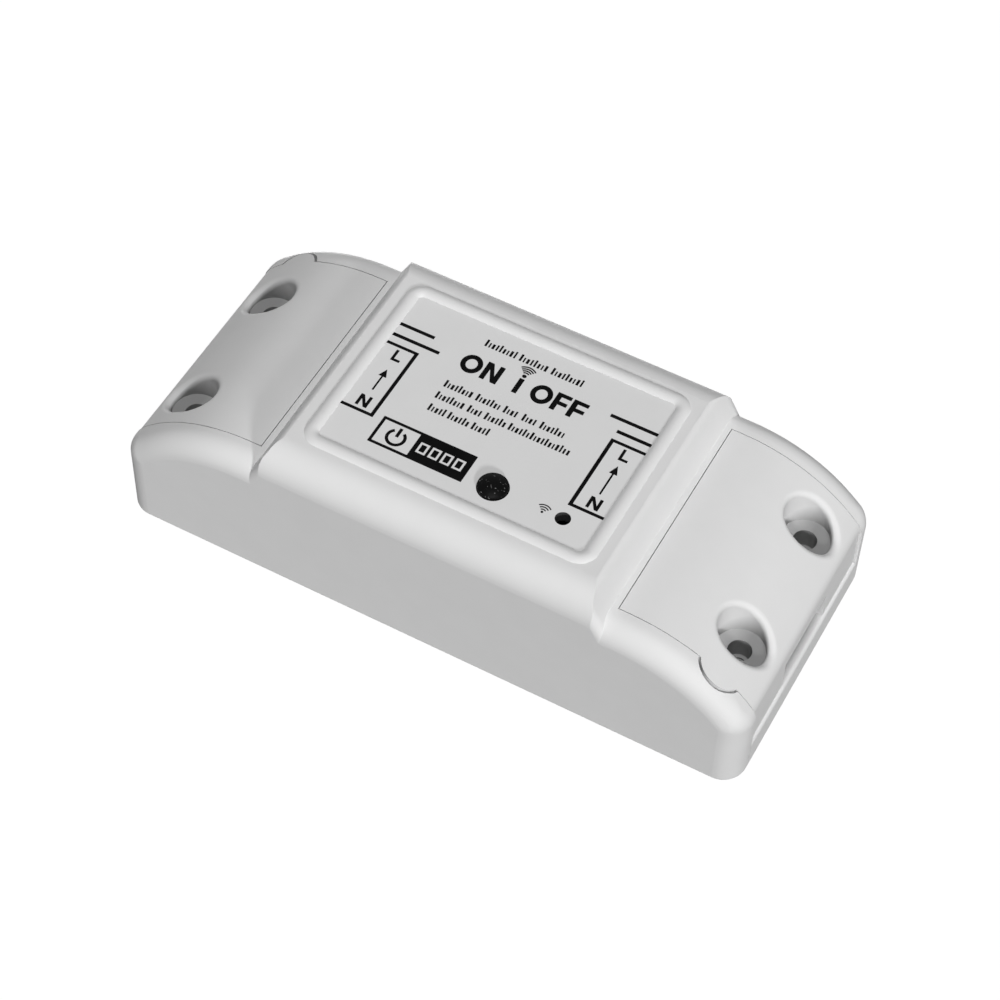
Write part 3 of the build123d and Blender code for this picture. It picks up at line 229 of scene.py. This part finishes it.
look_of_slot = {
    # The casing's colour carries painted shade in its screw pockets, screw holes and light hole.
    "casing_white": surface(
        "casing_plastic", (0.766, 0.766, 0.766), (0.778, 0.778, 0.778), 0.55,
        scale=2600, relief=0.0000025, specular=0.1, tone=painted_recess_shade,
    ),
    # Black button plastic whose pale specks are painted glints.
    "button_black": glint_speckled("button_plastic", (0.002, 0.002, 0.002), (0.20, 0.20, 0.20), 0.42, 0.045),
    "switch_black": black_plastic,
    "board_green": surface("board_mask", (0.006, 0.055, 0.022), (0.010, 0.075, 0.032), 0.28),
    "terminal_moulding": surface("terminal_plastic", (0.010, 0.080, 0.040), (0.014, 0.105, 0.055), 0.45),
    "terminal_brass": tin,
    "plated_steel": steel,
    "lamp_lens": surface("lamp_lens", (0.030, 0.032, 0.032), (0.045, 0.048, 0.048), 0.15),
    "tinned_lead": tin,
    "relay_moulding": black_plastic,
    "winding_wire": surface(
        "winding_wire", (0.42, 0.12, 0.03), (0.58, 0.20, 0.06), 0.3, scale=4000, metallic=1.0, stretch=(0.1, 0.1, 1)
    ),
    "winding_tape": surface("winding_tape", (0.58, 0.36, 0.010), (0.70, 0.46, 0.020), 0.35),
    "relay_iron": steel,
    "contact_silver": surface("contact_silver", (0.66, 0.63, 0.57), (0.78, 0.76, 0.71), 0.25, metallic=1.0),
    "ferrite": surface("ferrite", (0.014, 0.014, 0.016), (0.026, 0.026, 0.028), 0.55),
    "capacitor_can": surface("capacitor_sleeve", (0.006, 0.008, 0.016), (0.012, 0.014, 0.026), 0.25),
    "varistor_coat": surface("varistor_coat", (0.010, 0.055, 0.220), (0.016, 0.080, 0.290), 0.3),
    "resistor_body": surface("resistor_lacquer", (0.20, 0.27, 0.18), (0.26, 0.34, 0.24), 0.4),
    "chip_body": black_plastic,
    "chip_ceramic": surface("fired_ceramic", (0.28, 0.19, 0.11), (0.36, 0.26, 0.16), 0.5),
    "crystal_can": steel,
}
for entry in frame["record"]["subparts"]:
    mesh = nodes[entry["node"]].data
    mesh.materials.clear()
    mesh.materials.append(look_of_slot[entry["material_slot"]])


# Label, printed in one ink on the raised top; all its places and sizes are in millimetres

top_z = 24.0
print_rise = 0.02


def print_piece(name, outlines):
    """Flat print on the top: closed outlines, holes included."""
    curve = bpy.data.curves.new(name, "CURVE")
    curve.dimensions = "2D"
    curve.fill_mode = "BOTH"
    curve.extrude = print_rise * MM
    for outline in outlines:
        spline = curve.splines.new("POLY")
        spline.points.add(len(outline) - 1)
        for point, (x, y) in zip(spline.points, outline):
            point.co = (x * MM, y * MM, 0, 1)
        spline.use_cyclic_u = True
    source = bpy.data.objects.new(name + "_outline", curve)
    source.location = (0, 0, top_z * MM)
    collection.objects.link(source)
    bpy.context.view_layer.update()
    mesh = bpy.data.meshes.new_from_object(source)
    mesh.transform(source.matrix_world)
    bpy.data.objects.remove(source)
    piece = bpy.data.objects.new(name, mesh)
    mesh.materials.clear()
    mesh.materials.append(ink)
    collection.objects.link(piece)
    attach(piece, "module")


def bar(x0, y0, x1, y1):
    return [(x0, y0), (x1, y0), (x1, y1), (x0, y1)]


def arc(x, y, rx, ry, angles):
    return [(x + rx * math.cos(angle), y + ry * math.sin(angle)) for angle in angles]


def ellipse(x, y, rx, ry, steps=48):
    return arc(x, y, rx, ry, [2 * math.pi * i / steps for i in range(steps)])


def ring(x, y, rx, ry, width):
    return [ellipse(x, y, rx, ry), ellipse(x, y, rx - width, ry - width)[::-1]]


def arc_band(x, y, radius, width, start, end, steps=14):
    """Part of a ring, from one angle to another in degrees."""
    angles = [math.radians(start + (end - start) * i / steps) for i in range(steps + 1)]
    outer, inner = (arc(x, y, r, r, angles) for r in (radius + width / 2, radius - width / 2))
    return outer + inner[::-1]


def signal(x, y, radii, width, start, end):
    """Arcs that spread upwards from one place."""
    return [arc_band(x, y, radius, width, start, end) for radius in radii]


# Shares of a letter's upright and of its height, and how much shorter the middle bar of an F is
joint_share = 1.15
slant_shares = (0.36, 0.64)
middle_bar_share = 0.46
middle_bar_recess = 0.12


def letter_n(x0, y0, x1, y1, width):
    """An N whose slanted stroke runs out into its corners a little wider than the uprights are."""
    joint = width * joint_share
    low, high = (y0 + (y1 - y0) * share for share in slant_shares)
    return [
        (x0, y0), (x0, y1), (x0 + joint, y1), (x1 - width, low), (x1 - width, y1),
        (x1, y1), (x1, y0), (x1 - joint, y0), (x0 + width, high), (x0 + width, y0),
    ]


def letter_f(x0, y0, x1, y1, width, bar_width):
    """An F whose middle bar lies just under half its height."""
    low = y0 + (y1 - y0) * middle_bar_share - bar_width / 2
    high = low + bar_width
    short_x = x1 - middle_bar_recess
    return [
        (x0, y0), (x0 + width, y0), (x0 + width, low), (short_x, low), (short_x, high), (x0 + width, high),
        (x0 + width, y1 - bar_width), (x1, y1 - bar_width), (x1, y1), (x0, y1),
    ]


def letter_l(x0, y0, x1, y1, width):
    return [(x0, y0), (x1, y0), (x1, y0 + width), (x0 + width, y0 + width), (x0 + width, y1), (x0, y1)]


def bracket(top_x, foot_x, side_x, side_width, top, foot, width=0.44):
    """Three sides of a frame that is open towards the near end of the casing."""
    inner_x = side_x + side_width
    return [
        (top_x, top - width), (top_x, top), (side_x, top), (side_x, foot),
        (foot_x, foot), (foot_x, foot + width), (inner_x, foot + width), (inner_x, top - width),
    ]


def arrow(x, foot, neck, tip, shaft=0.12, head=0.55):
    """Arrow that points up: half the width of its shaft and of its head are given."""
    return [
        (x - shaft, foot), (x + shaft, foot), (x + shaft, neck), (x + head, neck),
        (x, tip), (x - head, neck), (x - shaft, neck),
    ]


tick_widths = (0.30, 0.20, 0.34, 0.24, 0.26)
tick_heights = (1.15, 0.80, 0.80, 0.95)
tick_gap = 0.24
least_tick = 0.2


def ticks(x0, x1, base):
    """A word's length of short upright strokes, of uneven width and height, that stand on one line."""
    outlines = []
    x = x0
    while x < x1 - least_tick:
        count = len(outlines)
        width = min(tick_widths[count % len(tick_widths)], x1 - x)
        outlines.append(bar(x, base, x + width, base + tick_heights[count % len(tick_heights)]))
        x += width + tick_gap
    return outlines


# ON, a divider and OFF
print_piece("label_on", ring(-7.15, 6.16, 1.43, 1.52, 0.68) + [letter_n(-5.41, 4.68, -3.04, 7.62, 0.68)])
print_piece("label_off", [
    *ring(2.79, 6.14, 1.43, 1.52, 0.68),
    letter_f(4.50, 4.66, 6.50, 7.58, 0.70, 0.58),
    letter_f(6.79, 4.66, 8.89, 7.54, 0.70, 0.58),
])
print_piece("label_divider", [bar(-0.80, 4.68, -0.12, 7.18)])

# Wiring at both ends
print_piece("label_left_wiring", [
    bar(-18.23, 7.33, -13.29, 7.83),
    bar(-18.23, 5.43, -11.55, 5.93),
    bracket(-18.23, -18.45, -13.70, -0.48, 4.41, -7.35),
])
print_piece("label_right_wiring", [
    bar(11.77, 7.23, 18.55, 7.73),
    bar(13.60, 5.33, 18.55, 5.83),
    bracket(18.55, 18.55, 13.52, 0.50, 4.28, -7.42),
])
print_piece("label_left_poles", [
    letter_l(-16.45, 1.78, -15.20, 3.60, 0.38),
    letter_n(-16.74, -6.52, -15.13, -4.68, 0.41),
])
print_piece("label_right_poles", [
    letter_l(15.65, 1.68, 16.90, 3.50, 0.38),
    letter_n(15.48, -6.62, 17.12, -4.78, 0.41),
])

# Signal mark over the divider, and rows of ticks: each row's base line and its words' ends
print_piece("label_signal", [
    *signal(-0.46, 7.68, (0.56, 0.88, 1.20, 1.52), 0.19, 48, 132),
    ellipse(-0.46, 7.66, 0.30, 0.27, 20),
])
rows = [
    (9.60, ((-7.26, -2.74), (-2.35, 1.77), (2.16, 6.81))),
    (1.28, ((-8.55, -4.45), (-4.05, -0.61), (-0.16, 2.05), (2.45, 4.52), (4.94, 8.48))),
    (-0.82, ((-8.61, -4.52), (-4.10, -2.10), (-1.70, 1.25), (1.65, 4.42), (4.68, 10.30))),
    (-2.97, ((-8.48, -6.10), (-5.70, -2.58), (-2.35, 0.23))),
]
print_piece("label_rows", [tick for base, words in rows for x0, x1 in words for tick in ticks(x0, x1, base)])
print_piece("label_left_arrow", [arrow(-15.90, -3.55, -1.10, 0.16)])
print_piece("label_right_arrow", [arrow(16.20, -4.13, -0.60, 0.77)])

# Tag: an open field with an on/off symbol, and a solid one with four frames
frame_inset = 0.30
frame_starts = (-6.50, -4.82, -3.14, -1.46)
print_piece("label_tag", [
    bar(-12.48, -10.80, 0.65, -6.39),
    bar(-12.08, -10.40, -7.10, -6.79)[::-1],
    *[
        bar(x + inset, -9.45 + inset, x + 1.30 - inset, -7.75 - inset)
        for x in frame_starts for inset in (0, frame_inset)
    ],
    arc_band(-9.59, -8.72, 1.15, 0.42, 125, 415, 40),
    bar(-9.80, -8.60, -9.38, -7.15),
])
print_piece("label_lamp_signal", [
    *signal(11.35, -9.95, (0.45, 0.80, 1.15), 0.16, 45, 135),
    ellipse(11.35, -9.92, 0.17, 0.17, 16),
])


# Stage: a pale floor, a dim world, a key light from above, a low one from the side and a weak one
# from behind and below, as a pale table throws it back. Light reaches past the floor for that.

floor_half = 4
floor_drop = 0.00002
lit_floor = 0.14
seen_floor = 0.6
floor_glow = 1.12
glow_share = 0.85
world_light = 0.05
seen_world = 1.0


def seen_rays(tree):
    """1 for the rays that show the surroundings or a reflection of them, 0 for the rays that light."""
    path = tree.nodes.new("ShaderNodeLightPath")
    seen = reckon(tree, "MAXIMUM", path.outputs["Is Camera Ray"], path.outputs["Is Glossy Ray"])
    return reckon(tree, "MAXIMUM", seen, path.outputs["Is Transmission Ray"])


floor_corners = bar(-floor_half, -floor_half, floor_half, floor_half)
floor_mesh = bpy.data.meshes.new("floor")
floor_mesh.from_pydata([(x, y, 0) for x, y in floor_corners], [], [(0, 1, 2, 3)])
floor = bpy.data.objects.new("floor", floor_mesh)
floor.location.z = -floor_drop
floor.visible_shadow = False
collection.objects.link(floor)
floor_material = bpy.data.materials.new("floor_paper")
floor_material.use_nodes = True
tree = emptied(floor_material.node_tree)
output = tree.nodes.new("ShaderNodeOutputMaterial")
matte = tree.nodes.new("ShaderNodeBsdfDiffuse")
glow = tree.nodes.new("ShaderNodeEmission")
glow.inputs["Strength"].default_value = floor_glow
seen = seen_rays(tree)
tree.links.new(map_range(tree, seen, (0, 1), (lit_floor, seen_floor)), matte.inputs["Color"])
mix = tree.nodes.new("ShaderNodeMixShader")
tree.links.new(reckon(tree, "MULTIPLY", seen, glow_share), mix.inputs[0])
tree.links.new(matte.outputs[0], mix.inputs[1])
tree.links.new(glow.outputs[0], mix.inputs[2])
tree.links.new(mix.outputs[0], output.inputs[0])
floor_mesh.materials.append(floor_material)

world = bpy.data.worlds.new("studio")
bpy.context.scene.world = world
world.use_nodes = True
tree = emptied(world.node_tree)
output = tree.nodes.new("ShaderNodeOutputWorld")
backdrop = tree.nodes.new("ShaderNodeBackground")
backdrop.inputs["Color"].default_value = (1, 1, 1, 1)
level = map_range(tree, seen_rays(tree), (0, 1), (world_light, seen_world))
tree.links.new(level, backdrop.inputs["Strength"])
tree.links.new(backdrop.outputs[0], output.inputs[0])

for name, energy, width, direction in (
    ("key", 1.80, 16, (0.113, -0.248, 0.962)),
    ("side", 1.86, 6, (0.674, -0.674, 0.302)),
    ("bounce", 0.85, 20, (-0.460, 0.760, -0.460)),
):
    sun = bpy.data.lights.new(name, "SUN")
    sun.energy = energy
    sun.angle = math.radians(width)
    lamp = bpy.data.objects.new(name, sun)
    lamp.rotation_euler = Vector(direction).to_track_quat("Z", "Y").to_euler()
    collection.objects.link(lamp)


# Camera at the photograph's viewing angle: azimuth, elevation and roll in degrees, distance in metres
azimuth, elevation, roll = (math.radians(angle) for angle in (26.855, 52.703, 2.106))
target = Vector((0, 0, 0.011))
distance = 0.3448

level_reach = math.cos(elevation)
back = Vector((math.sin(azimuth) * level_reach, -math.cos(azimuth) * level_reach, math.sin(elevation)))
level_right = (-back).cross(Vector((0, 0, 1))).normalized()
level_up = level_right.cross(-back)
right = math.cos(roll) * level_right + math.sin(roll) * level_up
up = -math.sin(roll) * level_right + math.cos(roll) * level_up
turn = Matrix((right, up, back)).transposed().to_4x4()
camera_data = bpy.data.cameras.new("camera")
camera_data.sensor_width = 36
camera_data.lens = 97.54
camera_data.shift_x = 0.00397
camera_data.shift_y = -0.01671
camera_data.clip_start = 0.01
camera = bpy.data.objects.new("camera", camera_data)
camera.matrix_world = Matrix.Translation(target + back * distance) @ turn
collection.objects.link(camera)
bpy.context.scene.camera = camera
bpy.context.scene.view_settings.view_transform = "Standard"
